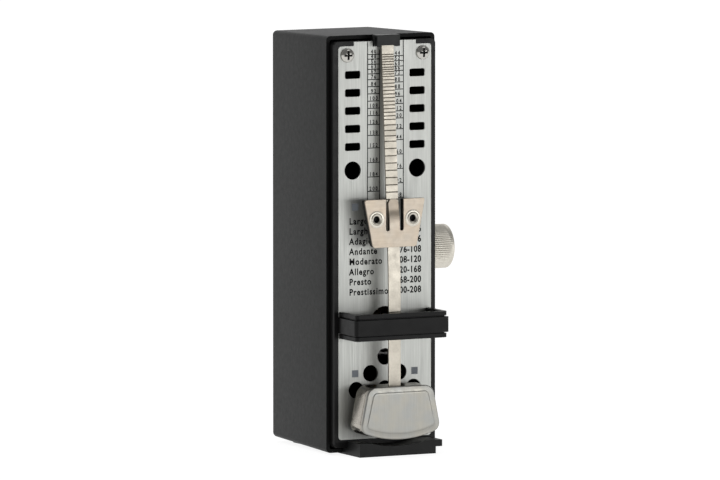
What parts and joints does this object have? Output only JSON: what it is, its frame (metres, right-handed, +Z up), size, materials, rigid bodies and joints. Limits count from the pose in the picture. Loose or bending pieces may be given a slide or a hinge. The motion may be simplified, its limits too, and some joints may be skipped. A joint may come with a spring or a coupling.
{
  "type": "mechanical metronome",
  "caption": "Key-wound pendulum metronome with a tapered casing, printed tempo plate, rod with sliding weight and bob, front bridge, ribbed winding knob and clockwork.",
  "frame": {"origin": "on the resting surface, on the centre plane, directly under the front edge of the casing", "axes": "+X to the right seen from the front, +Y to the back, +Z up along the height"},
  "size_m": [0.0529, 0.0608, 0.141],
  "materials": {
    "casing_plastic": "fine textured moulding",
    "chassis_plastic": "glossy black moulding",
    "base_plastic": "satin black moulding",
    "scale_aluminium": "vertically brushed, printed",
    "black_lacquer": "satin black lacquer",
    "bright_screw": "polished head",
    "dark_screw": "blackened",
    "brass_plate": "straight-grained",
    "brass_wheel": "polished",
    "arbor_steel": "turned and polished",
    "hardened_steel": "ground",
    "spring_steel": "blued strip",
    "rod_nickel": "satin nickel",
    "bob_nickel": "satin nickel plate",
    "slider_nickel": "warm satin nickel",
    "slider_core": "dark cast body",
    "knob_nickel": "fine ribbed, nickel plated"
  },
  "bodies": {
    "chassis": {"casing": "casing_plastic", "casing_screws": "dark_screw", "front_frame": "chassis_plastic", "scale_plate": "scale_aluminium", "plate_screws": "bright_screw", "pendulum_catch": "chassis_plastic", "bridge": "black_lacquer", "bridge_screws": "bright_screw", "base_foot": "base_plastic", "base_screws": "dark_screw", "movement_plate_left": "brass_plate", "movement_plate_right": "brass_plate", "movement_pillars": "arbor_steel", "pillar_screws": "arbor_steel", "movement_screws": "arbor_steel", "rear_bearing_bracket": "dark_screw", "click_screw": "arbor_steel", "click_spring": "spring_steel"},
    "pendulum": {"pendulum_staff": "arbor_steel", "pallet_fork": "hardened_steel", "rod_collar": "arbor_steel", "rod_clamp": "rod_nickel", "pendulum_rod": "rod_nickel", "bob_back": "bob_nickel", "bob_front": "bob_nickel", "bob_rivets": "bob_nickel"},
    "slider": {"slider_plate": "slider_nickel", "slider_block": "slider_core", "slider_rivets": "slider_nickel"},
    "winder": {"winding_knob": "knob_nickel", "winding_arbor": "arbor_steel", "ratchet_wheel": "hardened_steel"},
    "click_arm": {"click": "hardened_steel"},
    "barrel": {"spring_barrel": "brass_wheel", "barrel_cover": "brass_wheel", "great_wheel": "brass_wheel", "mainspring": "spring_steel"},
    "third_wheel_set": {"third_arbor": "arbor_steel", "third_wheel": "brass_wheel", "third_pinion": "arbor_steel"},
    "escape_wheel_set": {"escape_arbor": "arbor_steel", "escape_pinion": "arbor_steel", "escape_wheel_left": "brass_wheel", "escape_wheel_right": "brass_wheel"}
  },
  "joints": [
    {"name": "pendulum_swing", "type": "hinge", "parent": "chassis", "child": "pendulum", "pos_m": [0, 0, 0.0441], "axis": [0, 1, 0], "range_deg": [-20, 20]},
    {"name": "weight_slide", "type": "slide", "parent": "pendulum", "child": "slider", "axis": [0, 0.0669, 0.9978], "range_m": [0, 0.0482]},
    {"name": "winding_turn", "type": "hinge", "parent": "chassis", "child": "winder", "pos_m": [0, 0.0155, 0.0668], "axis": [1, 0, 0], "continuous": true},
    {"name": "click_rock", "type": "hinge", "parent": "chassis", "child": "click_arm", "pos_m": [0.0141, 0.01796, 0.05717], "axis": [1, 0, 0], "range_deg": [-8, 0], "stiffness_Nm_per_rad": 0.0002, "springref_deg": 17.19},
    {"name": "barrel_turn", "type": "hinge", "parent": "chassis", "child": "barrel", "pos_m": [0, 0.0155, 0.0668], "axis": [1, 0, 0], "continuous": true},
    {"name": "third_turn", "type": "hinge", "parent": "chassis", "child": "third_wheel_set", "pos_m": [0, 0.01755, 0.04892], "axis": [1, 0, 0], "continuous": true},
    {"name": "escape_turn", "type": "hinge", "parent": "chassis", "child": "escape_wheel_set", "pos_m": [0, 0.012, 0.0365], "axis": [1, 0, 0], "continuous": true}
  ],
  "couplings": [
    {"joint": "third_turn", "follows": "barrel_turn", "ratio": -5},
    {"joint": "escape_turn", "follows": "barrel_turn", "ratio": 23.333}
  ]
}
